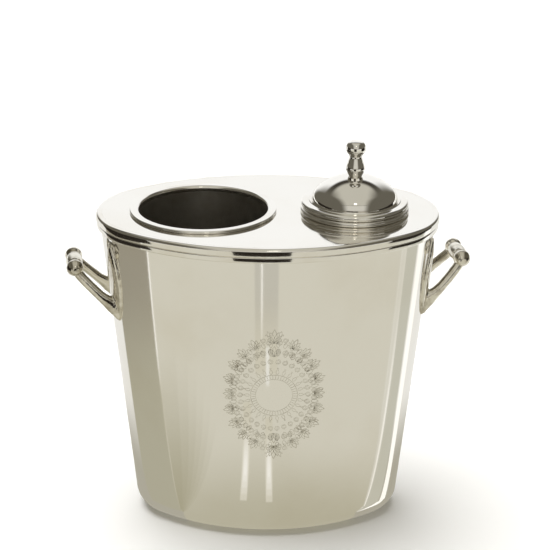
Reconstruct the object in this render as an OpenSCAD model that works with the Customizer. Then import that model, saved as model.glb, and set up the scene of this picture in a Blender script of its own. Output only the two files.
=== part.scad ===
// Oval champagne bucket with a lift-off deck, a hanging bottle sleeve and a lidded ice hatch.
// Millimetres, +Z up. The origin is the centre of the flat base, and +X points at the ice hatch.

/* [Body] */
// Height of the deck's top surface above the table
deck_z = 257; // [230:1:290]
// Half of the deck's length, to the outside of its rim
half_length = 134; // [128:1:150]
// Half of the deck's depth, to the outside of its rim
half_depth = 89; // [84:1:100]
// Radius of the oval's two ends
end_r = 67; // [60:1:74]
// How far the wall leans in from top to bottom, on every side
wall_draft = 23.5; // [12:0.5:27]
// Outside radius of the rounded bottom edge
bottom_r = 18.5; // [12:0.5:24]
// Thickness of the wall and the base
sheet_t = 1.2; // [0.8:0.1:2]

/* [Rim mouldings] */
// Height of the flat-sided moulding round the deck
deck_band_h = 6.6; // [5:0.2:8]
// Radius of the deck moulding's upper edge
deck_edge_r = 2.6; // [1.5:0.1:3]
// Height of the band soldered round the body's mouth
body_band_h = 4.8; // [4:0.2:6]
// How far the body's band stands out from the wall
body_band_out = 2.3; // [1.8:0.1:2.8]
// How far the deck's moulding stands out past the wall
bead_stand = 3; // [2.8:0.1:4]

/* [Deck] */
// Thickness of the deck plate
deck_t = 1.5; // [1:0.1:3]
// How far the skirt under the deck reaches down into the body
skirt_depth = 20; // [12:1:30]
// Thickness of the skirt
skirt_t = 1.2; // [0.8:0.1:2]

/* [Bottle sleeve] */
// Distance from the deck's centre to the sleeve's axis, towards -X
sleeve_x = 50.5; // [48:0.5:54]
// Inside radius of the sleeve
sleeve_r = 50; // [46:0.5:52]
// Depth of the sleeve below the deck's top surface
sleeve_depth = 150; // [120:1:170]
// Thickness of the sleeve's sheet
sleeve_t = 1; // [0.8:0.1:1.5]
// Outside radius of the rolled lip
lip_r = 57.4; // [56:0.2:58]
// Height of the rolled lip above the deck
lip_h = 2.4; // [2:0.1:3]

/* [Ice hatch] */
// Distance from the deck's centre to the hatch's axis, towards +X
hatch_x = 67.5; // [66:0.5:70]
// Radius of the hatch's clear hole
hatch_r = 37; // [34:0.5:38]
// Outside radius of the hatch's collar
collar_r = 42.5; // [41:0.5:44]
// Height of the collar above the deck
collar_h = 4; // [3:0.2:6]

/* [Ice lid] */
// Outside radius of the lid's rim moulding
lid_r = 42; // [40:0.5:43]
// Height of the lid's rim moulding
lid_rim_h = 5; // [4:0.2:6]
// Radius of the dome where it meets the rim
dome_r = 34; // [31:0.5:35]
// Height of the dome above the rim
dome_h = 19.5; // [18:0.5:24]
// Radius of the dome's rounded shoulder
shoulder_r = 14.5; // [12:0.5:16]
// Thickness of the dome's sheet
dome_t = 1; // [0.8:0.1:1.5]
// Depth of the skirt that centres the lid in the hatch
lid_skirt_h = 9; // [6:0.5:14]
// Height of the finial
finial_h = 28.5; // [25:0.5:34]

/* [Handles] */
// Distance from the body's centre to each grip
grip_x = 152; // [148:0.5:154]
// Depth of the grip's axis below the deck's top surface
grip_drop = 39.5; // [38:0.5:41]
// Half of the distance between the two legs where they meet the grip
grip_half = 13.5; // [12:0.5:16]
// Radius of the grip at its middle
grip_r = 6.2; // [5:0.1:7]
// Angle from the long axis to each foot, about the centre of the oval's end
foot_angle = 23; // [21:0.5:25]
// Angle by which each handle sits round from the long axis, the left one towards the front
handle_turn = 8; // [0:0.5:9]
// Height of each leaf-shaped foot
foot_h = 65; // [62:1:70]
// Width of each leaf-shaped foot
foot_w = 18; // [14:0.5:20]
// Depth of the foot's upper tip below the deck's top surface
foot_drop = 17; // [16:0.5:18]
// Thickness of the foot
foot_t = 2.4; // [2:0.1:3]

/* [Hidden] */
$fn = 96;

silver = [0.84, 0.82, 0.78];
silver_edge = [0.62, 0.6, 0.56];
silver_inside = [0.74, 0.73, 0.7];

// The oval is four tangent arcs: two ends of end_r and two flanks of flank_r.
end_x = half_length - end_r;
flank_r = (end_x * end_x + half_depth * half_depth - end_r * end_r) / (2 * (half_depth - end_r));
flank_y = flank_r - half_depth;
junction_x = end_x / norm([end_x, flank_y]);

// Levels and offsets of the body. An offset is measured outwards from the deck's outline.
seat_z = deck_z - deck_band_h;
lower_edge_r = 1.1;
wall_lean = wall_draft / (seat_z - bottom_r);
lean_angle = atan(wall_lean);
seam_z = bottom_r * (1 - sin(lean_angle));
inner_edge = -bead_stand - deck_band_h;
plate_edge = -deck_band_h / 2 - 1.5;
skirt_edge = inner_edge - skirt_t;

// Levels of the lid
lid_z = deck_z + collar_h;
dome_z = lid_z + lid_rim_h;
crown_inset = dome_r - shoulder_r;
crown_r = 46;
crown_drop = sqrt(pow(crown_r - shoulder_r, 2) - crown_inset * crown_inset);
crown_z = dome_h - crown_r;
shoulder_z = crown_z + crown_drop;
crown_angle = atan2(crown_drop, crown_inset);
land_z = dome_z + dome_h - 0.5;

// The arm's path, from the foot's lower tip to the underside of the grip
arm_r = 3.6;
arm_swell = 0.4;
arm_foot_z = deck_z - foot_drop - foot_h + 4;
arm_foot_r = end_r + wall_offset(arm_foot_z) + arm_r + 0.2;
arm_path = [
    [end_x + arm_foot_r * cos(foot_angle), -arm_foot_r * sin(foot_angle), arm_foot_z],
    [grip_x - 23, -grip_half - 9, deck_z - grip_drop - 24],
    [grip_x - 6, -grip_half - 5, deck_z - grip_drop - 13],
    [grip_x, -grip_half, deck_z - grip_drop - 3],
];
arm_steps = 9;
socket_r = 6.7;

// Finial screw, an M5 stud with its washer and nut
stud_r = 2.5;
stud_down = 9;
stud_up = 8;
washer_r = 5;
washer_t = 1;
nut_across = 8;
nut_t = 4;
land_under_z = land_z - dome_t - 0.01;

// Ways of drawing the shapes that repeat

function arc(centre, r, from, to, steps = 10) = [
    for (i = [0 : steps])
        let (a = from + (to - from) * i / steps)
            [centre[0] + r * cos(a), centre[1] + r * sin(a)],
];

// One point of a smooth curve through the points before and after it
function curve_point(p0, p1, p2, p3, t) =
    0.5 * (2 * p1 + (p2 - p0) * t
        + (2 * p0 - 5 * p1 + 4 * p2 - p3) * t * t
        + (3 * p1 - p0 - 3 * p2 + p3) * t * t * t);

function smooth(points, steps = 5) = [
    for (i = [0 : len(points) - 2], k = [0 : steps - 1])
        curve_point(points[max(i - 1, 0)], points[i], points[i + 1],
            points[min(i + 2, len(points) - 1)], k / steps),
    points[len(points) - 1],
];

function bezier(p, t) =
    p[0] * pow(1 - t, 3) + 3 * p[1] * t * pow(1 - t, 2)
        + 3 * p[2] * t * t * (1 - t) + p[3] * pow(t, 3);

// Outside offset of the wall at a height
function wall_offset(z) = -bead_stand - wall_lean * (seat_z - z);

// Carries a profile once round the oval. Its x is an offset from the deck's outline.
// Each arc is a whole turn cut to its own sector, so that neighbours share one exact face.
module sweep_oval() {
    far = 3 * half_length;
    for (side = [-1, 1]) {
        intersection() {
            translate([side * end_x, 0, 0])
                rotate_extrude()
                    translate([end_r, 0])
                        children();
            linear_extrude(2 * deck_z, center = true)
                polygon([
                    [side * end_x, 0], [side * 2 * end_x, flank_y], [side * far, flank_y],
                    [side * far, -flank_y], [side * 2 * end_x, -flank_y],
                ]);
        }
        intersection() {
            translate([0, -side * flank_y, 0])
                rotate_extrude()
                    translate([flank_r, 0])
                        children();
            linear_extrude(2 * deck_z, center = true)
                polygon([
                    [0, -side * flank_y], [2 * end_x, side * flank_y], [2 * end_x, side * far],
                    [-2 * end_x, side * far], [-2 * end_x, side * flank_y],
                ]);
        }
    }
}

// The oval's outline at an offset
module oval(offset) {
    corner_x = end_x + (end_r + offset) * junction_x;
    for (side = [-1, 1])
        translate([side * end_x, 0])
            circle(end_r + offset);
    intersection() {
        translate([0, flank_y])
            circle(flank_r + offset);
        translate([0, -flank_y])
            circle(flank_r + offset);
        square([2 * corner_x, 4 * half_depth], center = true);
    }
}

module wall_profile(outside, inside, low, high) {
    polygon([
        [wall_offset(low) + outside, low], [wall_offset(high) + outside, high],
        [wall_offset(high) + inside, high], [wall_offset(low) + inside, low],
    ]);
}

// Body

module body_wall() {
    color(silver)
        sweep_oval()
            wall_profile(0, -sheet_t, seam_z, seat_z);
}

// The rounded corner is tangent to the leaning wall and meets it at seam_z.
module base_pan() {
    centre = [wall_offset(seam_z) - bottom_r * cos(lean_angle), bottom_r];
    color(silver) {
        sweep_oval()
            polygon(concat(
                arc(centre, bottom_r, -lean_angle, -90, 14),
                arc(centre, bottom_r - sheet_t, -90, -lean_angle - 4, 13),
                [[wall_offset(seam_z) - sheet_t, seam_z]]));
        linear_extrude(sheet_t)
            oval(centre[0]);
    }
}

// A flat band with rounded edges, its back lying on the leaning wall
module body_rim() {
    r = lower_edge_r;
    face = body_band_out - bead_stand;
    low = seat_z - body_band_h;
    color(silver_edge)
        sweep_oval()
            polygon(concat(
                [[wall_offset(seat_z), seat_z]],
                arc([face - r, seat_z - r], r, 90, 0, 6),
                arc([face - r, low + r], r, 0, -90, 6),
                [[wall_offset(low), low]]));
}

// Handles, drawn at the front of the +X end and mirrored to the other places.
// Each one is then turned about the centre of its own end of the oval, so its feet stay on the wall.

module turned(x_side) {
    translate([x_side * end_x, 0, 0])
        rotate(handle_turn)
            translate([-x_side * end_x, 0, 0])
                children();
}

module grip() {
    profile = smooth([
        [0, -grip_half - 7], [4.2, -grip_half - 5.6], [6.6, -grip_half - 1.5],
        [5.8, -grip_half + 4.5], [grip_r, 0],
        [5.8, grip_half - 4.5], [6.6, grip_half + 1.5],
        [4.2, grip_half + 5.6], [0, grip_half + 7],
    ]);
    color(silver_edge)
        translate([grip_x, 0, deck_z - grip_drop])
            rotate([-90, 0, 0])
                rotate_extrude()
                    polygon(profile);
}

module foot() {
    flat_r = (foot_h * foot_h + foot_w * foot_w) / (4 * foot_w);
    translate([end_x, 0, 0])
        rotate(-foot_angle)
            intersection() {
                rotate(-30)
                    rotate_extrude(angle = 60)
                        translate([end_r, 0])
                            wall_profile(foot_t, 0, deck_z - foot_drop - foot_h, deck_z - foot_drop);
                translate([0, 0, deck_z - foot_drop - foot_h / 2])
                    rotate([0, 90, 0])
                        linear_extrude(end_r + 10)
                            intersection_for(side = [-1, 1])
                                translate([0, side * (flat_r - foot_w / 2)])
                                    circle(flat_r, $fn = 180);
            }
}

module arm() {
    for (i = [0 : arm_steps - 1])
        hull()
            for (t = [i / arm_steps, (i + 1) / arm_steps])
                translate(bezier(arm_path, t))
                    sphere(arm_r + arm_swell * sin(180 * t), $fn = 20);
}

module leg(x_side, y_side) {
    color(silver_edge)
        turned(x_side)
            mirror([x_side < 0 ? 1 : 0, 0, 0])
                mirror([0, y_side > 0 ? 1 : 0, 0])
                    difference() {
                        union() {
                            foot();
                            arm();
                        }
                        translate([grip_x, 0, deck_z - grip_drop])
                            rotate([90, 0, 0])
                                cylinder(r = socket_r, h = 2 * grip_half + 20, center = true);
                    }
}

module left_grip() {
    turned(-1)
        mirror([1, 0, 0])
            grip();
}

module left_front_leg() {
    leg(-1, -1);
}

module left_rear_leg() {
    leg(-1, 1);
}

module right_grip() {
    turned(1)
        grip();
}

module right_front_leg() {
    leg(1, -1);
}

module right_rear_leg() {
    leg(1, 1);
}

// Deck

module deck_plate() {
    color(silver)
        translate([0, 0, deck_z - deck_t])
            difference() {
                linear_extrude(deck_t)
                    oval(plate_edge);
                translate([-sleeve_x, 0, -1])
                    cylinder(r = sleeve_r + sleeve_t + 0.8, h = deck_t + 2);
                translate([hatch_x, 0, -1])
                    cylinder(r = hatch_r + 1, h = deck_t + 2);
            }
}

module deck_rim() {
    color(silver_edge)
        sweep_oval()
            polygon(concat(
                arc([-deck_edge_r, deck_z - deck_edge_r], deck_edge_r, 90, 0, 12),
                arc([-lower_edge_r, seat_z + lower_edge_r], lower_edge_r, 0, -90, 6),
                [
                    [inner_edge, seat_z], [inner_edge, deck_z - deck_t],
                    [plate_edge, deck_z - deck_t], [plate_edge, deck_z],
                ]));
}

module deck_skirt() {
    color(silver_inside)
        sweep_oval()
            translate([skirt_edge, deck_z - skirt_depth])
                square([skirt_t, skirt_depth - deck_t]);
}

module hatch_collar() {
    bead = collar_h / 2;
    color(silver_edge)
        translate([hatch_x, 0, deck_z])
            rotate_extrude()
                polygon(concat(
                    arc([collar_r - bead, bead], bead, -90, 90, 12),
                    [
                        [hatch_r, collar_h], [hatch_r, -deck_t - 2],
                        [hatch_r + 1, -deck_t - 2], [hatch_r + 1, 0],
                    ]));
}

// Bottle sleeve

module sleeve_lip() {
    bead = lip_h / 2;
    roll = 2.2;
    color(silver)
        translate([-sleeve_x, 0, deck_z])
            rotate_extrude()
                polygon(concat(
                    arc([lip_r - bead, bead], bead, -90, 90, 10),
                    arc([sleeve_r + roll, lip_h - roll], roll, 90, 180, 8),
                    [[sleeve_r, -2], [sleeve_r + sleeve_t, -2], [sleeve_r + sleeve_t, 0]]));
}

module sleeve_tube() {
    color(silver_inside)
        translate([-sleeve_x, 0, deck_z - sleeve_depth])
            difference() {
                cylinder(r = sleeve_r + sleeve_t, h = sleeve_depth - 2);
                translate([0, 0, -1])
                    cylinder(r = sleeve_r, h = sleeve_depth + 2);
            }
}

module sleeve_floor() {
    color(silver_inside)
        translate([-sleeve_x, 0, deck_z - sleeve_depth - sheet_t])
            cylinder(r = sleeve_r + sleeve_t, h = sheet_t);
}

// Ice lid

module dome_outline(inset) {
    land = land_z - dome_z - inset;
    intersection() {
        union() {
            intersection() {
                translate([0, crown_z])
                    circle(crown_r - inset);
                square([crown_inset + shoulder_r * cos(crown_angle) - inset / 2, land]);
            }
            translate([crown_inset, shoulder_z])
                circle(shoulder_r - inset);
            square([crown_inset, dome_h / 2]);
        }
        square([dome_r, land]);
    }
}

module lid_dome() {
    color(silver)
        translate([hatch_x, 0, dome_z])
            difference() {
                rotate_extrude()
                    difference() {
                        dome_outline(0);
                        translate([0, -0.01])
                            dome_outline(dome_t);
                    }
                cylinder(r = stud_r + 0.2, h = 2 * dome_h);
            }
}

module lid_rim() {
    bead = lid_rim_h / 2;
    color(silver_edge)
        translate([hatch_x, 0, lid_z])
            rotate_extrude()
                polygon(concat(
                    arc([lid_r - bead, bead], bead, -90, 90, 12),
                    [[dome_r - dome_t, lid_rim_h], [dome_r - dome_t, 0]]));
}

module lid_skirt() {
    color(silver_inside)
        translate([hatch_x, 0, lid_z - lid_skirt_h])
            difference() {
                cylinder(r = hatch_r - 0.6, h = lid_skirt_h);
                translate([0, 0, -1])
                    cylinder(r = hatch_r - 0.6 - skirt_t, h = lid_skirt_h + 2);
            }
}

module finial() {
    h = finial_h;
    profile = smooth([
        [5, 0], [5.7, 0.05 * h], [7.5, 0.22 * h], [6.2, 0.4 * h], [5, 0.53 * h],
        [5.7, 0.59 * h], [7.8, 0.7 * h], [7.8, 0.86 * h], [6.3, 0.97 * h], [0, h],
    ]);
    color(silver_edge)
        translate([hatch_x, 0, land_z])
            difference() {
                rotate_extrude()
                    polygon(concat([[0, 0]], profile));
                translate([0, 0, -1])
                    cylinder(r = stud_r, h = stud_up + 1);
            }
}

module finial_stud() {
    color(silver_inside)
        translate([hatch_x, 0, land_z - stud_down])
            cylinder(r = stud_r, h = stud_down + stud_up);
}

module finial_washer() {
    color(silver_inside)
        translate([hatch_x, 0, land_under_z - washer_t])
            difference() {
                cylinder(r = washer_r, h = washer_t);
                translate([0, 0, -1])
                    cylinder(r = stud_r + 0.2, h = washer_t + 2);
            }
}

module finial_nut() {
    color(silver_inside)
        translate([hatch_x, 0, land_under_z - washer_t - nut_t])
            difference() {
                cylinder(r = nut_across / 2 / cos(30), h = nut_t, $fn = 6);
                translate([0, 0, -1])
                    cylinder(r = stud_r, h = nut_t + 2);
            }
}

body_wall();
base_pan();
body_rim();
left_grip();
left_front_leg();
left_rear_leg();
right_grip();
right_front_leg();
right_rear_leg();
deck_plate();
deck_rim();
deck_skirt();
hatch_collar();
sleeve_lip();
sleeve_tube();
sleeve_floor();
lid_dome();
lid_rim();
lid_skirt();
finial();
finial_stud();
finial_washer();
finial_nut();
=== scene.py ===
import math
import bpy
from mathutils import Matrix, Vector


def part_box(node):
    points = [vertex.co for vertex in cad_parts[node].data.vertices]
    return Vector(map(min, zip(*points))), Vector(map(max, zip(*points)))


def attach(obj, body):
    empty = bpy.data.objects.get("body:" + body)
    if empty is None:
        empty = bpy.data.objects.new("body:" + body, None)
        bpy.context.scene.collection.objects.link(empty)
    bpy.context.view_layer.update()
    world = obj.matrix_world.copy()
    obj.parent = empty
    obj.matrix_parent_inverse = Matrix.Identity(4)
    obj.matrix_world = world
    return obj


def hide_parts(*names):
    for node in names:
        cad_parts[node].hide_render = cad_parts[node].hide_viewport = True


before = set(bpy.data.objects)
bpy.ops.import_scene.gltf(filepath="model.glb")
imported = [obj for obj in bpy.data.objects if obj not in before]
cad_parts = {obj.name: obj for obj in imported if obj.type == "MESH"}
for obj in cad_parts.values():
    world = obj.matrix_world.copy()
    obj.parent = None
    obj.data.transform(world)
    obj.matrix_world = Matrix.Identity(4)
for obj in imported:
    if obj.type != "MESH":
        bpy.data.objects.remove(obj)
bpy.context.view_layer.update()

MM = 0.001

# ---------------------------------------------------------------- sizes, from the frame

deck_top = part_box("deck_plate")[1].z
half_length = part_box("deck_rim")[1].x
half_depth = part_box("deck_rim")[1].y
rim_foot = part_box("deck_rim")[0].z
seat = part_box("body_wall")[1].z
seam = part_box("body_wall")[0].z
wall_top_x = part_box("body_wall")[1].x
wall_seam_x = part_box("base_pan")[1].x
lean = (wall_top_x - wall_seam_x) / (seat - seam)
lean_angle = math.atan(lean)

# The oval is four tangent arcs: two ends and two flatter flanks.
END_R = 67 * MM
SHEET = 1.2 * MM
BOTTOM_R = 18.5 * MM
LOWER_EDGE_R = 1.1 * MM
EDGE = 0.5 * MM
end_x = half_length - END_R
flank_r = (end_x ** 2 + half_depth ** 2 - END_R ** 2) / (2 * (half_depth - END_R))
flank_y = flank_r - half_depth
end_turn = 2 * math.atan2(flank_y, end_x)
flank_turn = math.pi - end_turn

sleeve_low, sleeve_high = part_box("sleeve_tube")
sleeve_x = (sleeve_low.x + sleeve_high.x) / 2
hatch_x = (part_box("hatch_collar")[0].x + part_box("hatch_collar")[1].x) / 2
grip_low, grip_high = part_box("right_grip")
grip_z = (grip_low.z + grip_high.z) / 2
grip_r = (grip_high.z - grip_low.z) / 2
foot_low, foot_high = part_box("right_front_leg")

# Each handle is turned a little about the centre of its own end of the oval.
grip_middle = (grip_low + grip_high) / 2 - Vector((end_x, 0, 0))
handle_turn = math.atan2(grip_middle.y, grip_middle.x)
grip_x = end_x + math.hypot(grip_middle.x, grip_middle.y)
GRIP_HALF = 13.5 * MM
GRIP_BULB = 7 * MM
FOOT_HEADING = math.radians(23)
FOOT_WIDTH = 18 * MM
FOOT_TIP_HALF = 1.1 * MM
SOLDER_DEPTH = 0.1 * MM
CAST_VOXEL = 0.4 * MM


def wall_offset(z):
    """Outside offset of the wall from the deck's outline, at a height."""
    return wall_top_x - half_length - lean * (seat - z)


# ---------------------------------------------------------------- shaping tools

def deselect():
    if bpy.context.mode != "OBJECT":
        bpy.ops.object.mode_set(mode="OBJECT")
    bpy.ops.object.select_all(action="DESELECT")


def make_active(piece):
    deselect()
    piece.select_set(True)
    bpy.context.view_layer.objects.active = piece


def settle(piece, name):
    """Puts the piece's place into its mesh."""
    piece.name = name
    piece.data.name = name
    bpy.ops.object.transform_apply(location=True, rotation=True, scale=True)


def draw_line(name, points):
    """Draws a line of edges in the XZ plane by extruding one vertex."""
    deselect()
    x, z = points[0]
    bpy.ops.mesh.primitive_plane_add(size=1 * MM, location=(x, 0, z))
    piece = bpy.context.active_object
    settle(piece, name)
    bpy.ops.object.mode_set(mode="EDIT")
    bpy.ops.mesh.select_all(action="SELECT")
    bpy.ops.mesh.merge(type="CENTER")
    for next_x, next_z in points[1:]:
        bpy.ops.mesh.extrude_vertices_move(
            TRANSFORM_OT_translate={"value": (next_x - x, 0, next_z - z)})
        x, z = next_x, next_z
    return piece


def close_up(angle=35):
    """Merges the seam, closes open loops, turns the faces outwards and smooths them."""
    bpy.ops.mesh.select_all(action="SELECT")
    bpy.ops.mesh.remove_doubles(threshold=0.004 * MM)
    bpy.ops.mesh.select_all(action="DESELECT")
    bpy.ops.mesh.select_non_manifold(extend=False)
    bpy.ops.mesh.fill_holes(sides=0)
    bpy.ops.mesh.select_all(action="SELECT")
    bpy.ops.mesh.normals_make_consistent(inside=False)
    bpy.ops.object.mode_set(mode="OBJECT")
    bpy.ops.object.shade_smooth_by_angle(angle=math.radians(angle))


def sweep_oval(name, profile, angle=35):
    """Carries a profile of (offset from the deck's outline, height) once round the oval."""
    piece = draw_line(name, [(half_length + offset, z) for offset, z in profile])
    bpy.ops.mesh.select_all(action="SELECT")
    for x, y, turn, steps in (
            (end_x, 0, end_turn / 2, 30), (0, flank_y, flank_turn, 72),
            (-end_x, 0, end_turn, 60), (0, -flank_y, flank_turn, 72),
            (end_x, 0, end_turn / 2, 30)):
        bpy.ops.mesh.spin(steps=steps, angle=turn, center=(x, y, 0), axis=(0, 0, 1))
    close_up(angle)
    return piece


def turn_round(name, axis_x, profile, steps=128, angle=35):
    """Turns a profile of (radius, height) about an upright axis."""
    piece = draw_line(name, [(axis_x + r, z) for r, z in profile])
    bpy.ops.mesh.select_all(action="SELECT")
    bpy.ops.mesh.spin(steps=steps, angle=2 * math.pi, center=(axis_x, 0, 0), axis=(0, 0, 1))
    close_up(angle)
    return piece


def arc(cx, cz, r, start, stop, steps):
    """Points of an arc, in degrees."""
    return [(cx + r * math.cos(math.radians(start + (stop - start) * i / steps)),
             cz + r * math.sin(math.radians(start + (stop - start) * i / steps)))
            for i in range(steps + 1)]


def smooth_curve(points, steps=5):
    """A smooth curve through the points."""
    out = []
    for i in range(len(points) - 1):
        p0, p1 = points[max(i - 1, 0)], points[i]
        p2, p3 = points[i + 1], points[min(i + 2, len(points) - 1)]
        for k in range(steps):
            t = k / steps
            out.append(tuple(
                0.5 * (2 * b + (c - a) * t + (2 * a - 5 * b + 4 * c - d) * t * t
                       + (3 * b - a - 3 * c + d) * t ** 3)
                for a, b, c, d in zip(p0, p1, p2, p3)))
    out.append(tuple(points[-1]))
    return out


# ---------------------------------------------------------------- finishes

def new_group(name, inputs, outputs):
    group = bpy.data.node_groups.new(name, "ShaderNodeTree")
    for label, kind, value in inputs:
        socket = group.interface.new_socket(label, in_out="INPUT", socket_type=kind)
        if value is not None:
            socket.default_value = value
    for label, kind in outputs:
        group.interface.new_socket(label, in_out="OUTPUT", socket_type=kind)
    group.nodes.new("NodeGroupInput").location = (-900, 0)
    group.nodes.new("NodeGroupOutput").location = (600, 0)
    return group


def link(tree, source, out_name, target, in_name):
    tree.links.new(source.outputs[out_name], target.inputs[in_name])


def noise(tree, source, scale, detail):
    """Noise whose scale is a number, or the name of one of the group's inputs."""
    node = tree.nodes.new("ShaderNodeTexNoise")
    node.inputs["Detail"].default_value = detail
    link(tree, source, "Vector", node, "Vector")
    if isinstance(scale, str):
        link(tree, source, scale, node, "Scale")
    else:
        node.inputs["Scale"].default_value = scale
    return node


def math_node(tree, operation, a, b):
    node = tree.nodes.new("ShaderNodeMath")
    node.operation = operation
    tree.links.new(a, node.inputs[0])
    tree.links.new(b, node.inputs[1])
    return node.outputs[0]


def polish_marks_group():
    """Roughness of hand polishing: a soft bloom with fine wiping marks along the metal."""
    group = new_group(
        "polish_marks",
        [("Vector", "NodeSocketVector", None), ("Base", "NodeSocketFloat", 0.05),
         ("Bloom", "NodeSocketFloat", 0.03), ("Wipes", "NodeSocketFloat", 0.03)],
        [("Roughness", "NodeSocketFloat"), ("Scratch", "NodeSocketFloat")])
    source = group.nodes["Group Input"]
    out = group.nodes["Group Output"]
    bloom = noise(group, source, 22, 4)
    stretch = group.nodes.new("ShaderNodeMapping")
    stretch.inputs["Scale"].default_value = (1, 1, 9)
    stretch.inputs["Rotation"].default_value = (0.3, 0.2, 0)
    link(group, source, "Vector", stretch, "Vector")
    wipes = group.nodes.new("ShaderNodeTexNoise")
    wipes.inputs["Scale"].default_value = 170
    wipes.inputs["Detail"].default_value = 5
    link(group, stretch, "Vector", wipes, "Vector")
    soft = math_node(group, "MULTIPLY", bloom.outputs["Fac"], source.outputs["Bloom"])
    fine = math_node(group, "MULTIPLY", wipes.outputs["Fac"], source.outputs["Wipes"])
    total = math_node(group, "ADD", soft, fine)
    total = math_node(group, "ADD", total, source.outputs["Base"])
    group.links.new(total, out.inputs["Roughness"])
    group.links.new(wipes.outputs["Fac"], out.inputs["Scratch"])
    return group


def hand_work_group():
    """Height of the metal's slight unevenness, left by planishing, soldering and casting."""
    group = new_group(
        "hand_work",
        [("Vector", "NodeSocketVector", None), ("Broad", "NodeSocketFloat", 9.0),
         ("Close", "NodeSocketFloat", 45.0), ("Mix", "NodeSocketFloat", 0.15)],
        [("Height", "NodeSocketFloat")])
    source = group.nodes["Group Input"]
    out = group.nodes["Group Output"]
    broad = noise(group, source, "Broad", 0)
    close = noise(group, source, "Close", 1)
    scaled = math_node(group, "MULTIPLY", close.outputs["Fac"], source.outputs["Mix"])
    group.links.new(math_node(group, "ADD", broad.outputs["Fac"], scaled), out.inputs["Height"])
    return group


def patina_group():
    """Colour of the metal, from clean silver to a thin warm patina in soft clouds."""
    group = new_group(
        "patina",
        [("Vector", "NodeSocketVector", None), ("Clean", "NodeSocketColor", (0.9, 0.88, 0.84, 1)),
         ("Aged", "NodeSocketColor", (0.7, 0.62, 0.5, 1)), ("Amount", "NodeSocketFloat", 0.3),
         ("Scale", "NodeSocketFloat", 14.0)],
        [("Color", "NodeSocketColor"), ("Mask", "NodeSocketFloat")])
    source = group.nodes["Group Input"]
    out = group.nodes["Group Output"]
    clouds = noise(group, source, "Scale", 6)
    ramp = group.nodes.new("ShaderNodeMapRange")
    ramp.interpolation_type = "SMOOTHSTEP"
    ramp.inputs["From Min"].default_value = 0.42
    ramp.inputs["From Max"].default_value = 0.75
    group.links.new(clouds.outputs["Fac"], ramp.inputs["Value"])
    mask = math_node(group, "MULTIPLY", ramp.outputs["Result"], source.outputs["Amount"])
    mix = group.nodes.new("ShaderNodeMix")
    mix.data_type = "RGBA"
    group.links.new(mask, mix.inputs[0])
    group.links.new(source.outputs["Clean"], mix.inputs[6])
    group.links.new(source.outputs["Aged"], mix.inputs[7])
    group.links.new(mix.outputs[2], out.inputs["Color"])
    group.links.new(mask, out.inputs["Mask"])
    return group


POLISH, HAND, PATINA = polish_marks_group(), hand_work_group(), patina_group()


def silver(name, clean, aged, patina, base, bloom, wipes, broad, close, mix, rise,
           scratch=0.0):
    """A silver finish. rise is the height of the hand work in metres."""
    material = bpy.data.materials.new(name)
    material.use_nodes = True
    tree = material.node_tree
    shader = tree.nodes["Principled BSDF"]
    shader.inputs["Metallic"].default_value = 1.0
    where = tree.nodes.new("ShaderNodeTexCoord")
    marks, work, colour = (tree.nodes.new("ShaderNodeGroup") for _ in range(3))
    marks.node_tree, work.node_tree, colour.node_tree = POLISH, HAND, PATINA
    for node in (marks, work, colour):
        link(tree, where, "Object", node, "Vector")
    for node, label, value in (
            (marks, "Base", base), (marks, "Bloom", bloom), (marks, "Wipes", wipes),
            (work, "Broad", broad), (work, "Close", close), (work, "Mix", mix),
            (colour, "Clean", (*clean, 1)), (colour, "Aged", (*aged, 1)),
            (colour, "Amount", patina), (colour, "Scale", broad * 1.5)):
        node.inputs[label].default_value = value
    link(tree, colour, "Color", shader, "Base Color")
    link(tree, marks, "Roughness", shader, "Roughness")
    bump = tree.nodes.new("ShaderNodeBump")
    bump.inputs["Distance"].default_value = rise
    bump.inputs["Strength"].default_value = 1.0
    link(tree, work, "Height", bump, "Height")
    if scratch:
        fine = tree.nodes.new("ShaderNodeBump")
        fine.inputs["Distance"].default_value = scratch
        fine.inputs["Strength"].default_value = 1.0
        link(tree, marks, "Scratch", fine, "Height")
        link(tree, bump, "Normal", fine, "Normal")
        bump = fine
    link(tree, bump, "Normal", shader, "Normal")
    return material


CLEAN = (0.93, 0.915, 0.88)
AGED = (0.78, 0.73, 0.63)
wall_silver = silver("wall_silver", CLEAN, AGED, 0.35, 0.035, 0.03, 0.03, 7, 30, 0.12, 0.00022)
deck_silver = silver("deck_silver", CLEAN, AGED, 0.2, 0.04, 0.03, 0.03, 8, 40, 0.1, 0.0001)
moulding_silver = silver("moulding_silver", CLEAN, AGED, 0.5, 0.04, 0.03, 0.03, 16, 90, 0.25,
                         0.00012)
cast_silver = silver("cast_silver", (0.8, 0.77, 0.69), (0.36, 0.32, 0.24), 0.85, 0.07, 0.05,
                     0.05, 70, 260, 0.35, 0.0005)
satin_silver = silver("satin_silver", (0.72, 0.7, 0.66), (0.5, 0.46, 0.4), 0.6, 0.22, 0.1,
                      0.12, 30, 300, 0.3, 0.00008, scratch=0.00002)
engraved_silver = silver("engraved_silver", (0.7, 0.68, 0.62), (0.4, 0.37, 0.31), 0.9, 0.24,
                         0.1, 0.15, 90, 900, 0.6, 0.00006, scratch=0.00003)
steel = silver("brushed_steel", (0.62, 0.62, 0.62), (0.4, 0.38, 0.36), 0.4, 0.24, 0.1, 0.2,
               60, 400, 0.3, 0.00005, scratch=0.00003)


def finish(piece, body, slot, material, *nodes):
    piece.data.materials.clear()
    piece.data.materials.append(material)
    if nodes:
        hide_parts(*nodes)
    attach(piece, body)


def recoat(node, material):
    """Gives a CAD node that stays a better material."""
    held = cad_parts[node]
    if not held.material_slots:
        held.data.materials.append(material)
    for held_slot in held.material_slots:
        held_slot.material = material


# ---------------------------------------------------------------- body

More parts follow.
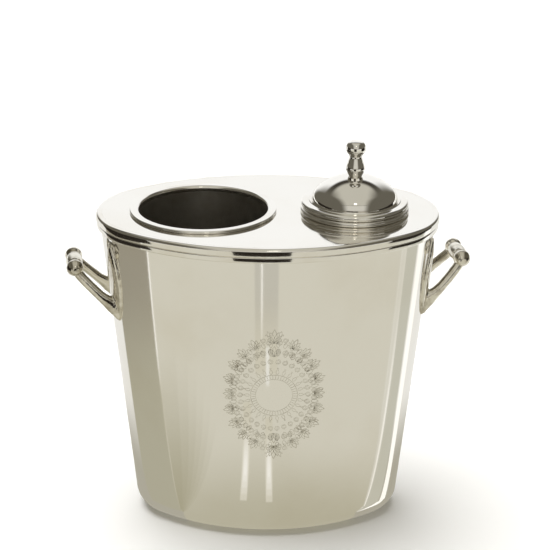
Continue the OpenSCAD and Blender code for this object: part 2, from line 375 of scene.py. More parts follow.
def make_wall():
    low, high = wall_offset(seam), wall_offset(seat)
    wall = sweep_oval("bucket_wall", [
        (low, seam), (high, seat), (high - SHEET, seat), (low - SHEET, seam), (low, seam)])
    finish(wall, "bucket", "polished_plate", wall_silver, "body_wall")
    return wall


def make_pan():
    """The raised base: a corner tangent to the wall, round a flat bottom."""
    lean_deg = math.degrees(lean_angle)
    cx = wall_offset(seam) - BOTTOM_R * math.cos(lean_angle)
    pan = sweep_oval("bucket_base", (
        arc(cx, BOTTOM_R, BOTTOM_R, -90, -lean_deg, 18)
        + arc(cx, BOTTOM_R, BOTTOM_R - SHEET, -lean_deg, -90, 18)), 50)
    finish(pan, "bucket", "polished_plate", wall_silver, "base_pan")


def make_body_moulding():
    """A flat band with rounded edges, soldered round the wall's mouth."""
    low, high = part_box("body_rim")
    face = high.x - half_length
    r = LOWER_EDGE_R
    band = sweep_oval("body_moulding", (
        [(wall_offset(high.z), high.z)]
        + arc(face - r, high.z - r, r, 90, 0, 8)
        + arc(face - r, low.z + r, r, 0, -90, 8)
        + [(wall_offset(low.z), low.z), (wall_offset(high.z), high.z)]))
    finish(band, "bucket", "polished_moulding", moulding_silver, "body_rim")


# ---------------------------------------------------------------- deck

def make_deck_moulding():
    """The deck's edge: a flat-sided moulding, rounded above, with a rebate for the plate."""
    height = deck_top - rim_foot
    inner = wall_offset(seat) - height
    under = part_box("deck_plate")[0].z
    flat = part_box("deck_plate")[1].x - half_length
    top_r, r = 2.6 * MM, LOWER_EDGE_R
    rim = sweep_oval("deck_moulding", (
        arc(-top_r, deck_top - top_r, top_r, 90, 0, 18)
        + arc(-r, rim_foot + r, r, 0, -90, 8)
        + [(inner, rim_foot), (inner, under), (flat, under), (flat, deck_top),
           (-top_r, deck_top)]))
    finish(rim, "deck", "polished_moulding", moulding_silver, "deck_rim")


def make_deck_skirt():
    low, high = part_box("deck_skirt")
    outside = high.x - half_length
    bevel = 0.6 * MM
    skirt = sweep_oval("deck_skirt_band", [
        (outside, low.z + bevel), (outside, high.z), (outside - SHEET, high.z),
        (outside - SHEET, low.z + bevel), (outside - bevel, low.z),
        (outside, low.z + bevel)])
    finish(skirt, "deck", "satin_plate", satin_silver, "deck_skirt")


def make_collar():
    low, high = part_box("hatch_collar")
    outer = (high.x - low.x) / 2
    clearance, neck, lead_in = 0.6 * MM, 1 * MM, 0.7 * MM
    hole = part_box("lid_skirt")[1].x - hatch_x + clearance
    bead = (high.z - deck_top) / 2
    collar = turn_round("hatch_collar_ring", hatch_x, (
        arc(outer - bead, deck_top + bead, bead, -90, 90, 20)
        + arc(hole + lead_in, high.z - lead_in, lead_in, 90, 180, 5)
        + [(hole, low.z), (hole + neck, low.z), (hole + neck, deck_top),
           (outer - bead, deck_top)]))
    finish(collar, "deck", "polished_moulding", moulding_silver, "hatch_collar")


# ---------------------------------------------------------------- bottle sleeve

def make_sleeve():
    outside = (sleeve_high.x - sleeve_low.x) / 2
    bore = outside - 1 * MM
    lip_low, lip_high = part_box("sleeve_lip")
    lip_r = (lip_high.x - lip_low.x) / 2
    bead = (lip_high.z - deck_top) / 2
    roll = 2.2 * MM
    lip = turn_round("sleeve_lip_ring", sleeve_x, (
        arc(lip_r - bead, deck_top + bead, bead, -90, 90, 14)
        + arc(bore + roll, lip_high.z - roll, roll, 90, 180, 12)
        + [(bore, lip_low.z), (outside, lip_low.z), (outside, deck_top),
           (lip_r - bead, deck_top)]))
    finish(lip, "bottle_sleeve", "polished_plate", moulding_silver, "sleeve_lip")
    tube = turn_round("sleeve_wall", sleeve_x, [
        (bore, sleeve_high.z), (bore, sleeve_low.z), (outside, sleeve_low.z),
        (outside, sleeve_high.z), (bore, sleeve_high.z)])
    finish(tube, "bottle_sleeve", "satin_plate", satin_silver, "sleeve_tube")
    floor_low, floor_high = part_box("sleeve_floor")
    plate = turn_round("sleeve_bottom", sleeve_x, [
        (0, floor_high.z), (outside, floor_high.z), (outside, floor_low.z + EDGE),
        (outside - EDGE, floor_low.z), (0, floor_low.z)])
    finish(plate, "bottle_sleeve", "satin_plate", satin_silver, "sleeve_floor")


# ---------------------------------------------------------------- ice lid

def make_lid():
    rim_low, rim_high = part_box("lid_rim")
    rim_r = (rim_high.x - rim_low.x) / 2
    dome_low, dome_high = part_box("lid_dome")
    dome_r = (dome_high.x - dome_low.x) / 2
    sheet = 1 * MM
    bead = (rim_high.z - rim_low.z) / 2
    ledge, cove = 2.6 * MM, 0.9 * MM
    flange = turn_round("lid_moulding", hatch_x, (
        arc(rim_r - bead, rim_low.z + bead, bead, -90, 90, 22)
        + [(dome_r + ledge, rim_high.z)]
        + arc(dome_r + ledge, rim_high.z + cove, cove, -90, -170, 5)
        + [(dome_r - sheet, rim_high.z + 0.1 * MM), (dome_r - sheet, rim_low.z),
           (rim_r - bead, rim_low.z)]))
    finish(flange, "ice_lid", "polished_moulding", moulding_silver, "lid_rim")

    shoulder = 14.5 * MM
    crown = 46 * MM
    height = dome_high.z - dome_low.z + 0.5 * MM  # to where the crown's arc would peak
    inset = dome_r - shoulder
    drop = math.sqrt((crown - shoulder) ** 2 - inset ** 2)
    crown_z = dome_low.z + height - crown
    shoulder_z = crown_z + drop
    turn = math.degrees(math.atan2(drop, inset))
    land_r = 6.76 * MM
    land = math.degrees(math.acos(land_r / crown))
    bolt = 2.7 * MM
    dome = turn_round("lid_bell", hatch_x, (
        [(dome_r, dome_low.z)]
        + arc(inset, shoulder_z, shoulder, 0, turn, 20)
        + arc(0, crown_z, crown, turn, land, 16)[1:]
        + [(bolt, dome_high.z), (bolt, dome_high.z - sheet)]
        + arc(0, crown_z, crown - sheet, land, turn, 16)
        + arc(inset, shoulder_z, shoulder - sheet, turn, 0, 20)[1:]
        + [(dome_r - sheet, dome_low.z), (dome_r, dome_low.z)]), 160)
    finish(dome, "ice_lid", "polished_plate", deck_silver, "lid_dome")

    skirt_low, skirt_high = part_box("lid_skirt")
    skirt_r = (skirt_high.x - skirt_low.x) / 2
    skirt = turn_round("lid_skirt_band", hatch_x, [
        (skirt_r, skirt_high.z), (skirt_r, skirt_low.z + EDGE),
        (skirt_r - EDGE, skirt_low.z), (skirt_r - SHEET, skirt_low.z + 0.2 * MM),
        (skirt_r - SHEET, skirt_high.z), (skirt_r, skirt_high.z)])
    finish(skirt, "ice_lid", "satin_plate", satin_silver, "lid_skirt")


def make_finial():
    low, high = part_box("finial")
    h = high.z - low.z
    outline = smooth_curve([
        (5.0 * MM, 0), (5.7 * MM, 0.05 * h), (7.5 * MM, 0.22 * h), (6.2 * MM, 0.4 * h),
        (5.0 * MM, 0.55 * h), (5.6 * MM, 0.61 * h), (7.3 * MM, 0.7 * h),
        (7.8 * MM, 0.79 * h), (7.2 * MM, 0.89 * h), (5.0 * MM, 0.97 * h), (0, h)], 8)
    knob = turn_round("finial_knob", hatch_x, (
        [(0, low.z)] + [(r, low.z + z) for r, z in outline]), 64, 40)
    finish(knob, "ice_lid", "cast_handle", moulding_silver, "finial")

    stud_low, stud_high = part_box("finial_stud")
    stud_r = (stud_high.x - stud_low.x) / 2
    pitch = 0.8 * MM
    root_r = stud_r - 0.45 * MM
    ridges = int((stud_high.z - stud_low.z - pitch) / pitch)
    thread = [(0, stud_low.z), (stud_r - EDGE, stud_low.z)]
    for i in range(ridges):
        z = stud_low.z + EDGE + i * pitch
        thread += [(root_r, z), (stud_r, z + 0.35 * pitch), (stud_r, z + 0.5 * pitch)]
    thread += [(root_r, stud_high.z), (0, stud_high.z)]
    stud = turn_round("finial_screw", hatch_x, thread, 32, 20)
    finish(stud, "ice_lid", "steel_fastener", steel, "finial_stud")

    washer_low, washer_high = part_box("finial_washer")
    washer_r = (washer_high.x - washer_low.x) / 2
    edge = 0.2 * MM
    hole = stud_r + 0.2 * MM
    washer = turn_round("finial_washer_ring", hatch_x, [
        (hole, washer_low.z), (washer_r - edge, washer_low.z),
        (washer_r, washer_low.z + edge), (washer_r, washer_high.z - edge),
        (washer_r - edge, washer_high.z), (hole, washer_high.z), (hole, washer_low.z)], 48)
    finish(washer, "ice_lid", "steel_fastener", steel, "finial_washer")


# ---------------------------------------------------------------- ornament

# The ornament is drawn flat in front of the wall, then projected back onto it.
ORNAMENT_X, ORNAMENT_Z, ORNAMENT_Y = 5 * MM, 132 * MM, -0.12
LINE_HEIGHT = 0.08 * MM


def lay_flat(name, points):
    """A flat outline in the ornament's own plane, drawn round the world's origin."""
    return draw_line(name, [(x * MM, z * MM) for x, z in points])


def make_motifs():
    """The four shapes that the ornament repeats, each about 1 mm: petal, scroll, ray, bead."""
    turns, shrink = 2.2, 0.78
    petal = lay_flat("petal", [
        (0, 0), (0.14, 0.12), (0.2, 0.3), (0.21, 0.5), (0.16, 0.72), (0.08, 0.88), (0, 1.0),
        (-0.08, 0.88), (-0.16, 0.72), (-0.21, 0.5), (-0.2, 0.3), (-0.14, 0.12), (0, 0)])
    bpy.ops.mesh.select_all(action="SELECT")
    bpy.ops.mesh.remove_doubles(threshold=0.01 * MM)
    bpy.ops.mesh.edge_face_add()
    bpy.ops.mesh.inset(thickness=0.055 * MM)
    bpy.ops.mesh.delete(type="FACE")
    bpy.ops.object.mode_set(mode="OBJECT")

    scroll = lay_flat("scroll", [
        ((1 - shrink * t) * math.sin(2 * turns * math.pi * t) * 0.5,
         (1 - shrink * t) * math.cos(2 * turns * math.pi * t) * 0.5)
        for t in (i / 30 for i in range(31))])
    bpy.ops.mesh.select_all(action="SELECT")
    bpy.ops.mesh.extrude_edges_move()
    bpy.ops.transform.resize(value=(0.8, 1, 0.8), center_override=(0, 0, 0))
    bpy.ops.object.mode_set(mode="OBJECT")

    ray = lay_flat("ray", [(-0.06, 0), (-0.035, 1), (0.035, 1), (0.06, 0)])
    bpy.ops.mesh.select_all(action="SELECT")
    bpy.ops.mesh.edge_face_add()
    bpy.ops.object.mode_set(mode="OBJECT")

    bead = lay_flat("bead", [(0.5 * math.cos(a * math.pi / 5), 0.5 * math.sin(a * math.pi / 5))
                             for a in range(10)])
    bpy.ops.mesh.select_all(action="SELECT")
    bpy.ops.mesh.edge_face_add()
    bpy.ops.mesh.inset(thickness=0.17 * MM)
    bpy.ops.mesh.delete(type="FACE")
    bpy.ops.object.mode_set(mode="OBJECT")
    return petal, scroll, ray, bead


def make_ornament(wall):
    """A generic rayed cartouche of petals and scrolls, cut on the front of the wall."""
    petal, scroll, ray, bead = motifs = make_motifs()
    placed = []

    def place(motif, x, z, heading=0.0, size=1.0, wide=None, mirrored=False):
        """Puts a copy of a motif at (x, z) millimetres from the ornament's centre."""
        copy = motif.copy()
        copy.data = motif.data.copy()
        bpy.context.scene.collection.objects.link(copy)
        wide = size if wide is None else wide
        copy.matrix_world = (
            Matrix.Translation((ORNAMENT_X + x * MM, ORNAMENT_Y, ORNAMENT_Z + z * MM))
            @ Matrix.Rotation(math.radians(heading), 4, "Y")
            @ Matrix.Diagonal((-wide if mirrored else wide, 1, size, 1)))
        placed.append(copy)

    def four_ways(motif, x, z, heading, size, wide=None):
        """Places a motif in all four quarters, or on both sides of an axis that it lies on."""
        for side in ((1, -1) if abs(x) > 0.01 else (1,)):
            for up in ((1, -1) if abs(z) > 0.01 else (1,)):
                turned = heading if up > 0 else 180 - heading
                place(motif, side * x, up * z, side * turned, size, wide,
                      mirrored=(side * up) < 0)

    def fan(x, z, heading, lengths, spread, wide=1.0):
        """A fan of petals; lengths run from the middle petal outwards."""
        for i, length in enumerate(lengths):
            for side in ((1, -1) if i else (1,)):
                turn = heading + side * i * spread
                four_ways(petal, x, z, turn, length, wide * length)

    for radius, count, motif, size, wide in (
            (14.6, 48, ray, 3.0, 4.0), (18.6, 26, petal, 4.6, 6.0), (23.9, 26, bead, 1.3, 1.3)):
        for i in range(count):
            a = 2 * math.pi * (i + 0.5) / count
            place(motif, radius * math.sin(a), radius * math.cos(a), math.degrees(a), size, wide)

    # rings of the wreath, each an ellipse that grows taller outwards
    for across, tall, count, motif, size, wide in (
            (26.2, 29.8, 30, scroll, 5.0, 5.0), (28.8, 34.5, 34, petal, 6.4, 7.6),
            (31.2, 38.5, 36, scroll, 5.6, 5.0), (32.6, 42.0, 40, petal, 5.6, 7.0),
            (35.0, 46.0, 40, bead, 1.5, 1.5)):
        for i in range(count):
            a = 2 * math.pi * (i + 0.5) / count
            out = math.degrees(math.atan2(math.sin(a) / across, math.cos(a) / tall))
            place(motif, across * math.sin(a), tall * math.cos(a), out, size, wide,
                  mirrored=math.sin(a) < 0)

    # the spires above and below
    fan(0, 45.5, 0, (12.5, 10.5, 8.6, 7.0), 19, 0.9)
    fan(0, 34, 0, (9.5, 8.0, 6.8), 22, 0.9)
    four_ways(scroll, 4.0, 46.0, 20, 5.0)
    four_ways(scroll, 8.4, 48.0, 60, 4.8)
    four_ways(petal, 3.4, 49.5, 18, 7.0, 6.0)
    four_ways(bead, 6.4, 52.5, 0, 1.5)
    # leaf clusters round the outer edge
    for x, z, heading, reach in (
            (13.5, 40.5, 28, 9.4), (21.5, 33.5, 44, 9.0), (27.5, 24.5, 62, 9.0),
            (31.0, 13.0, 78, 8.6)):
        fan(x, z, heading, (reach, 0.85 * reach, 0.7 * reach, 0.55 * reach), 25, 0.95)
        four_ways(scroll, 0.9 * x, 0.9 * z, heading, 4.6)
    fan(31.0, 0, 90, (8.6, 7.4, 6.2, 5.0), 24, 0.95)

    deselect()
    for radius, width in ((14.3, 0.3), (18.2, 0.45)):
        bpy.ops.mesh.primitive_circle_add(
            vertices=96, radius=radius * MM, fill_type="NGON",
            location=(ORNAMENT_X, ORNAMENT_Y, ORNAMENT_Z), rotation=(math.pi / 2, 0, 0))
        hoop = bpy.context.active_object
        bpy.ops.object.mode_set(mode="EDIT")
        bpy.ops.mesh.select_all(action="SELECT")
        bpy.ops.mesh.inset(thickness=width * MM)
        bpy.ops.mesh.delete(type="FACE")
        bpy.ops.object.mode_set(mode="OBJECT")
        placed.append(hoop)

    deselect()
    for piece in placed:
        piece.select_set(True)
    bpy.context.view_layer.objects.active = placed[0]
    bpy.ops.object.join()
    lace = bpy.context.active_object
    settle(lace, "wall_ornament")
    for motif in motifs:
        bpy.data.objects.remove(motif)
    wrap = lace.modifiers.new("lie_on_wall", "SHRINKWRAP")
    wrap.target = wall
    wrap.wrap_method = "PROJECT"
    wrap.use_project_y = True
    wrap.use_positive_direction = True
    wrap.use_negative_direction = False
    wrap.offset = 0.02 * MM
    bpy.ops.object.modifier_apply(modifier=wrap.name)
    bpy.ops.object.mode_set(mode="EDIT")
    bpy.ops.mesh.select_all(action="SELECT")
    bpy.ops.mesh.normals_make_consistent(inside=False)
    bpy.ops.object.mode_set(mode="OBJECT")
    lift = lace.modifiers.new("line_height", "SOLIDIFY")
    lift.thickness = LINE_HEIGHT
    lift.offset = 0
    bpy.ops.object.modifier_apply(modifier=lift.name)
    finish(lace, "bucket", "satin_plate", engraved_silver)


# ---------------------------------------------------------------- handles

def turn_handle(piece, side, name):
    """Turns a handle part about the centre of its end of the oval."""
    make_active(piece)
    pivot = Vector((side * end_x, 0, 0))
    piece.matrix_world = (Matrix.Translation(pivot) @ Matrix.Rotation(handle_turn, 4, "Z")
                          @ Matrix.Translation(-pivot) @ piece.matrix_world)
    settle(piece, name)


def make_grip(side):
    """A cast roll with a rounded bulb and a crease at each end."""
    half = GRIP_HALF + GRIP_BULB
    outline = [(0, half), (0.36 * grip_r, 0.985 * half), (0.7 * grip_r, 0.9 * half),
               (0.96 * grip_r, 0.76 * half), (1.0 * grip_r, 0.64 * half),
               (0.88 * grip_r, 0.5 * half), (0.82 * grip_r, 0.44 * half),
               (0.88 * grip_r, 0.36 * half), (0.95 * grip_r, 0.15 * half)]
    outline = smooth_curve([(r, -y) for r, y in outline] + [(0.96 * grip_r, 0)]
                           + outline[::-1], 5)
    name = "right_grip_roll" if side > 0 else "left_grip_roll"
    grip = draw_line(name, outline)
    bpy.ops.mesh.select_all(action="SELECT")
    bpy.ops.mesh.spin(steps=48, angle=2 * math.pi, center=(0, 0, 0), axis=(0, 0, 1))
    close_up(180)
    grip.rotation_euler = (math.radians(-90), 0, 0)
    grip.location = (side * grip_x, 0, grip_z)
    make_active(grip)
    settle(grip, name)
    turn_handle(grip, side, name)
    finish(grip, "bucket", "cast_handle", cast_silver,
           "right_grip" if side > 0 else "left_grip")


def bezier(path, t):
    p0, p1, p2, p3 = path
    return (p0 * (1 - t) ** 3 + 3 * p1 * t * (1 - t) ** 2
            + 3 * p2 * t * t * (1 - t) + p3 * t ** 3)


def loft(name, sections):
    """Extrudes a ring through (centre, across, out) sections, closed at both ends."""
    deselect()
    bpy.ops.mesh.primitive_circle_add(vertices=20, radius=1, fill_type="NOTHING")
    ring = bpy.context.active_object
    settle(ring, name)
    bpy.ops.object.mode_set(mode="EDIT")
    bpy.ops.mesh.select_all(action="SELECT")
    last = Matrix.Identity(4)
    for i, (centre, across, out) in enumerate(sections):
        facing = Matrix((across, out, across.cross(out).normalized())).transposed().to_4x4()
        place = Matrix.Translation(centre) @ facing
        if i:
            bpy.ops.mesh.extrude_region()
        bpy.ops.object.mode_set(mode="OBJECT")
        step = place @ last.inverted()
        for vertex in ring.data.vertices:
            if vertex.select:
                vertex.co = step @ vertex.co
        bpy.ops.object.mode_set(mode="EDIT")
        last = place
    bpy.ops.mesh.select_all(action="SELECT")
    close_up(180)
    return ring


def make_legs():
    """Four copies of one casting: a leaf-shaped foot on the wall, and an arm up to the grip."""
    foot_top, foot_bottom = foot_high.z, foot_low.z
    tall = foot_top - foot_bottom
    bow = (tall ** 2 + FOOT_WIDTH ** 2) / (4 * FOOT_WIDTH)
    outward = Vector((math.cos(FOOT_HEADING), -math.sin(FOOT_HEADING), 0))
    sideways = Vector((math.sin(FOOT_HEADING), math.cos(FOOT_HEADING), 0))

    def on_wall(z, lift):
        return Vector((end_x, 0, z)) + outward * (END_R + wall_offset(z) + lift)

    feet = []
    for i in range(21):
        s = 0.5 - 0.5 * math.cos(math.pi * (0.03 + 0.94 * i / 20))
        z = foot_top - tall * s
        half = math.sqrt(bow ** 2 - (tall * (s - 0.5)) ** 2) - (bow - FOOT_WIDTH / 2)
        half = max(half, FOOT_TIP_HALF)
        thick = (1.3 + 1.5 * min(1, half / (7 * MM))) * MM
        feet.append((on_wall(z, -SOLDER_DEPTH), sideways * half, outward * thick))
    foot = loft("right_front_leg_casting", feet)

    path = [on_wall(foot_bottom + 1.6 * MM, 1.2 * MM),
            Vector((grip_x - 25 * MM, -GRIP_HALF - 9 * MM, grip_z - 24.5 * MM)),
            Vector((grip_x - 7 * MM, -GRIP_HALF - 5 * MM, grip_z - 12 * MM)),
            Vector((grip_x - 0.5 * MM, -GRIP_HALF + 0.5 * MM, grip_z - 1.5 * MM))]
    arms = []
    for i in range(21):
        t = i / 20
        here = bezier(path, t)
        along = (bezier(path, min(t + 0.02, 1)) - bezier(path, max(t - 0.02, 0))).normalized()
        across = Vector((0, 1, 0))
        across = (across - along * across.dot(along)).normalized()
        out = along.cross(across)
        web = math.exp(-((t - 0.22) / 0.13) ** 2)
        deep = (1.2 + 2.7 * min(1, 5 * t) + 2.2 * web) * MM
        thick = (1.6 + 2.2 * min(1, 6 * t)) * MM
        arms.append((here + out * 2.4 * web * MM, across * thick, out * deep))
    arm = loft("arm_blank", arms)

    deselect()
    arm.select_set(True)
    foot.select_set(True)
    bpy.context.view_layer.objects.active = foot
    bpy.ops.object.join()
    leg = bpy.context.active_object
    remesh = leg.modifiers.new("cast_skin", "REMESH")
    remesh.mode = "VOXEL"
    remesh.voxel_size = CAST_VOXEL
    bpy.ops.object.modifier_apply(modifier=remesh.name)
    relax = leg.modifiers.new("cast_flow", "SMOOTH")
    relax.factor = 0.5
    relax.iterations = 9
    bpy.ops.object.modifier_apply(modifier=relax.name)
    bpy.ops.object.shade_smooth()
    legs = [(leg, 1)]
    for name, x, y in (("right_rear_leg_casting", 1, -1), ("left_front_leg_casting", -1, 1),
                       ("left_rear_leg_casting", -1, -1)):
        other = leg.copy()
        other.data = leg.data.copy()
        bpy.context.scene.collection.objects.link(other)
        other.scale = (x, y, 1)
        make_active(other)
        settle(other, name)
        bpy.ops.object.mode_set(mode="EDIT")
        bpy.ops.mesh.select_all(action="SELECT")
        bpy.ops.mesh.normals_make_consistent(inside=False)
        bpy.ops.object.mode_set(mode="OBJECT")
        legs.append((other, x))
    for piece, side in legs:
        turn_handle(piece, side, piece.name)
        finish(piece, "bucket", "cast_handle", cast_silver,
               piece.name.replace("_casting", ""))


# ---------------------------------------------------------------- studio

def glow(name, near_colour, far_colour, near, far):
    """Even light whose colour changes with the distance from the middle of the base."""
    material = bpy.data.materials.new(name)
    material.use_nodes = True
    tree = material.node_tree
    tree.nodes.clear()
    where = tree.nodes.new("ShaderNodeTexCoord")
    reach = tree.nodes.new("ShaderNodeVectorMath")
    reach.operation = "LENGTH"
    link(tree, where, "Object", reach, "Vector")
    fade = tree.nodes.new("ShaderNodeMapRange")
    fade.interpolation_type = "SMOOTHSTEP"
    fade.inputs["From Min"].default_value = near
    fade.inputs["From Max"].default_value = far
    tree.links.new(reach.outputs["Value"], fade.inputs["Value"])
    mix = tree.nodes.new("ShaderNodeMix")
    mix.data_type = "RGBA"
    tree.links.new(fade.outputs["Result"], mix.inputs[0])
    mix.inputs[6].default_value = (*near_colour, 1)
    mix.inputs[7].default_value = (*far_colour, 1)
    lamp = tree.nodes.new("ShaderNodeEmission")
    tree.links.new(mix.outputs[2], lamp.inputs["Color"])
    out = tree.nodes.new("ShaderNodeOutputMaterial")
    link(tree, lamp, "Emission", out, "Surface")
    return material


def card(name, corners, near_colour, far_colour=None, near=0.1, far=0.5):
    """A glowing studio card that shows only in the silver's reflections: a painted reflection
    that lights no diffuse surface and casts no shadow.
    """
    mesh = bpy.data.meshes.new(name)
    mesh.from_pydata(corners, [], [list(range(len(corners)))])
    panel = bpy.data.objects.new(name, mesh)
    bpy.context.scene.collection.objects.link(panel)
    mesh.materials.append(glow(name + "_tone", near_colour, far_colour or near_colour, near, far))
    panel.visible_camera = False
    panel.visible_diffuse = False
    panel.visible_shadow = False
    panel.visible_transmission = False


def floor_wedge(name, root, start, stop, reach, colours, height, near=0.1, far=0.5,
                begin=0.0):
    """A flat card between two headings in degrees, from begin to reach metres off a root."""
    rays = [Vector((math.cos(math.radians(a)), math.sin(math.radians(a)), 0))
            for a in (start, stop)]
    base = Vector((root[0], root[1], height))
    corners = [base + rays[0] * begin, base + rays[0] * reach, base + rays[1] * reach]
    if begin:
        corners.append(base + rays[1] * begin)
    card(name, corners, *colours, near=near, far=far)


def make_studio():
    deselect()
    bpy.ops.mesh.primitive_plane_add(size=16, location=(0, 2, 0))
    ground = bpy.context.active_object
    ground.name = "studio_floor"
    paper = bpy.data.materials.new("pale_paper")
    paper.use_nodes = True
    shader = paper.node_tree.nodes["Principled BSDF"]
    shader.inputs["Base Color"].default_value = (0.93, 0.93, 0.925, 1)
    shader.inputs["Roughness"].default_value = 0.9
    shader.inputs["Specular IOR Level"].default_value = 0.1
    ground.data.materials.append(paper)

    world = bpy.data.worlds.new("soft_studio")
    bpy.context.scene.world = world
    world.use_nodes = True
    tree = world.node_tree
    sky = tree.nodes["Background"]
    where = tree.nodes.new("ShaderNodeTexCoord")
    split = tree.nodes.new("ShaderNodeSeparateXYZ")
    link(tree, where, "Generated", split, "Vector")

    def step(value, low, high):
        node = tree.nodes.new("ShaderNodeMapRange")
        node.interpolation_type = "SMOOTHSTEP"
        node.inputs["From Min"].default_value = low
        node.inputs["From Max"].default_value = high
        tree.links.new(value, node.inputs["Value"])
        return node.outputs["Result"]

    def blend(factor, a, b):
        node = tree.nodes.new("ShaderNodeMix")
        node.data_type = "RGBA"
        tree.links.new(factor, node.inputs[0])
        for socket, value in ((node.inputs[6], a), (node.inputs[7], b)):
            if isinstance(value, tuple):
                socket.default_value = (*value, 1)
            else:
                tree.links.new(value, socket)
        return node.outputs[2]

    # What the reflections see: a pale room with a bright back and dark ends
    room_low, room_high = (0.34, 0.31, 0.25), (0.62, 0.6, 0.54)
    ceiling, side = (0.54, 0.52, 0.45), (0.13, 0.12, 0.095)
    backdrop, backdrop_edge = (1.0, 1.0, 0.99), (0.05, 0.044, 0.036)
    low_front = blend(step(split.outputs["Z"], 0.0, 0.25), room_low, room_high)
    front = blend(step(split.outputs["Z"], 0.5, 0.75), low_front, ceiling)
    back = blend(step(split.outputs["Z"], 0.55, 0.65), backdrop, backdrop_edge)
    back = blend(step(split.outputs["Z"], 0.72, 0.82), back, ceiling)
    around = blend(step(split.outputs["Y"], -0.3, 0.05), front, back)
    sideways = tree.nodes.new("ShaderNodeMath")
    sideways.operation = "ABSOLUTE"
    tree.links.new(split.outputs["X"], sideways.inputs[0])
    around = blend(step(sideways.outputs["Value"], 0.3, 0.6), around, side)
    # What the camera sees behind the bucket is plain
    path = tree.nodes.new("ShaderNodeLightPath")
    seen = blend(path.outputs["Is Camera Ray"], around, backdrop)
    tree.links.new(seen, sky.inputs["Color"])
    sky.inputs["Strength"].default_value = 1.0

    softbox = bpy.data.lights.new("overhead_softbox", "SUN")
    softbox.energy = 3.1
    softbox.angle = math.radians(50)
    lamp = bpy.data.objects.new("overhead_softbox", softbox)
    lamp.rotation_euler = (math.radians(-6), math.radians(-10), 0)
    lamp.visible_glossy = False
    bpy.context.scene.collection.objects.link(lamp)

    # Cards lying on the floor, one above the other, that the lower wall reflects: painted
    # reflections of the floor, with painted shade and painted highlights
    beige_shade_near, beige, beige_far = (0.5, 0.475, 0.37), (0.63, 0.6, 0.49), (0.655, 0.632, 0.54)
    shade, shade_far = (0.44, 0.42, 0.325), (0.33, 0.305, 0.24)
    ground_shade_near, pale = (0.44, 0.42, 0.35), (0.86, 0.85, 0.81)
    white = (1.15, 1.13, 1.08)
    reflected_room_dark = (0.02, 0.016, 0.012)
    left_root = (-78 * MM, -51.5 * MM)
    right_root = (80 * MM, -44 * MM)

    def lying(points, level):
        return [Vector((x, y, level * 0.3 * MM)) for x, y in points]

    # The ground card darkens towards the base: painted shade of the floor round the bucket, seen
    # in reflections
    card("ground_card", lying([(-3, -3), (3, -3), (3, 3), (-3, 3)], 1), ground_shade_near, pale,
         near=0.15, far=0.29)
    # The front card darkens towards the base as well: painted shade of the floor, seen in
    # reflections
    card("front_card", lying([
        left_root, (-1.5, -0.6), (-1.5, -2.5), (1.5, -2.5), (1.5, -0.34), right_root,
        (0, 30 * MM)], 2), beige_shade_near, beige_far, near=0.08, far=0.2)
    floor_wedge("right_card", right_root, -7, 15, 1.5, ((0.57, 0.56, 0.48),), 0.6 * MM)
    floor_wedge("right_soft_glow", right_root, -11.5, -6.8, 1.5, ((0.7, 0.68, 0.6),), 0.9 * MM)
    floor_wedge("right_glow", right_root, -8.8, -6.9, 1.5, ((1.0, 0.98, 0.92), (0.72, 0.7, 0.62)),
                1.2 * MM, near=0.2, far=0.46)
    floor_wedge("right_wide_glow", right_root, 18, 31, 0.8, (white,), 0.9 * MM)
    # Steps of painted shade, darker towards the edge of the left card, seen only in reflections
    for i, start in enumerate((256, 249, 242, 235, 227, 217)):
        share = (i + 1) / 6
        tone = tuple(b + share * (w - b) for b, w in zip(beige_shade_near, (0.4, 0.375, 0.27)))
        floor_wedge(f"left_soft_card_{i}", left_root, start, 200, 0.75, (tone, beige_far),
                    (0.62 + 0.03 * i) * MM, near=0.08, far=0.2 + 0.16 * share)
    floor_wedge("left_card", left_root, 201, 150, 1.4, (shade, shade_far), 0.9 * MM,
                near=0.26, far=0.5)
    floor_wedge("left_glow", left_root, 201.6, 200.8, 0.6, (beige, white), 1.2 * MM,
                near=0.26, far=0.36)
    floor_wedge("centre_column", (0, 0), 263, 276, 1.4, (beige, (0.55, 0.53, 0.46)), 0.75 * MM,
                near=0.3, far=0.42, begin=0.28)
    steps = 5
    for i in range(steps):
        share = (i + 1) / steps
        tone = tuple(b + share * (w - b) for b, w in zip(beige, (0.92, 0.9, 0.84)))
        level, trim, start = (0.9 + 0.15 * i) * MM, 0.34 * i, 0.102 + 0.008 * i
        floor_wedge(f"centre_glow_left_{i}", (-14 * MM, 0), 263.8 - trim, 259.0 + trim, 0.235,
                    (tone, beige), level, near=0.14, far=0.225, begin=start)
        floor_wedge(f"centre_glow_{i}", (2 * MM, 0), 273.0 - trim, 268.4 + trim, 0.215,
                    (tone, beige), level, near=0.14, far=0.205, begin=start)
    floor_wedge("centre_glow_mid", (2 * MM, 0), 270.9, 268.9, 0.32, ((0.82, 0.81, 0.75),),
                0.9 * MM, begin=0.262)
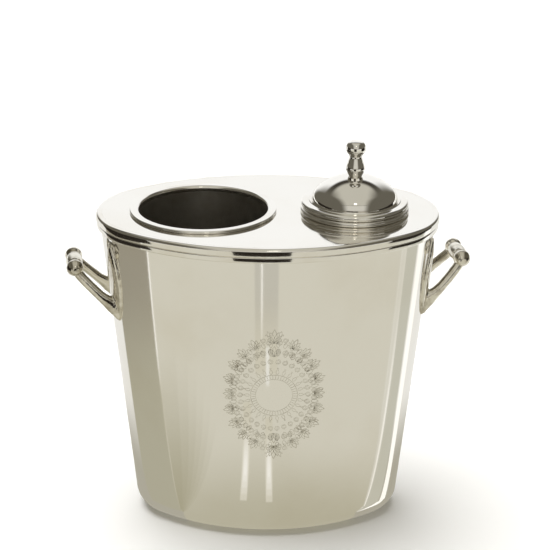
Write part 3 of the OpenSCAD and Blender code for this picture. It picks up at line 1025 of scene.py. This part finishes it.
    floor_wedge("centre_glow_far", (-2 * MM, 0), 267.6, 266.8, 0.56, (beige, (1.0, 0.98, 0.92)),
                0.9 * MM, near=0.3, far=0.4, begin=0.3)

    # Standing cards: painted reflections of the dark of the room and a dark rail, and a small
    # painted highlight
    card("front_dark", [(-0.19, -0.6, 0.0), (0.126, -0.6, 0.0), (0.126, -0.6, 0.33),
                        (-0.19, -0.6, 0.33)], reflected_room_dark)
    card("left_dark", [(-0.62, -0.35, 0), (-0.75, 0.35, 0), (-0.75, 0.35, 0.34),
                       (-0.62, -0.35, 0.34)], reflected_room_dark)
    card("right_dark", [(0.65, -0.33, 0.02), (0.8, 0.35, 0.02), (0.8, 0.35, 0.3),
                        (0.65, -0.33, 0.3)], reflected_room_dark)
    card("front_rail", [(-0.9, -1.0, 1.16), (0.9, -1.0, 1.16), (0.9, -1.0, 1.2),
                        (-0.9, -1.0, 1.2)], (0.05, 0.045, 0.035))
    card("front_highlight_card", [(0.0, -0.95, 1.3), (0.13, -0.95, 1.3), (0.13, -0.85, 1.48),
                        (0.0, -0.85, 1.48)], (3.0, 2.9, 2.6))


def make_camera():
    eye = bpy.data.cameras.new("viewer")
    eye.sensor_width = 36
    eye.lens = 111.3
    camera = bpy.data.objects.new("viewer", eye)
    bpy.context.scene.collection.objects.link(camera)
    pan, down, roll = (math.radians(a) for a in (-0.639, 21.625, 0.436))
    turn = (Matrix.Rotation(pan, 4, "Z") @ Matrix.Rotation(math.pi / 2 - down, 4, "X")
            @ Matrix.Rotation(roll, 4, "Z"))
    camera.matrix_world = Matrix.Translation((-0.0081, -1.2527, 0.6988)) @ turn
    bpy.context.scene.camera = camera
    bpy.context.scene.view_settings.view_transform = "Standard"


make_studio()
make_camera()
bucket_wall = make_wall()
make_pan()
make_ornament(bucket_wall)
make_body_moulding()
make_deck_moulding()
make_deck_skirt()
make_collar()
make_sleeve()
make_lid()
make_finial()
make_grip(1)
make_grip(-1)
make_legs()
recoat("deck_plate", deck_silver)
recoat("finial_nut", steel)
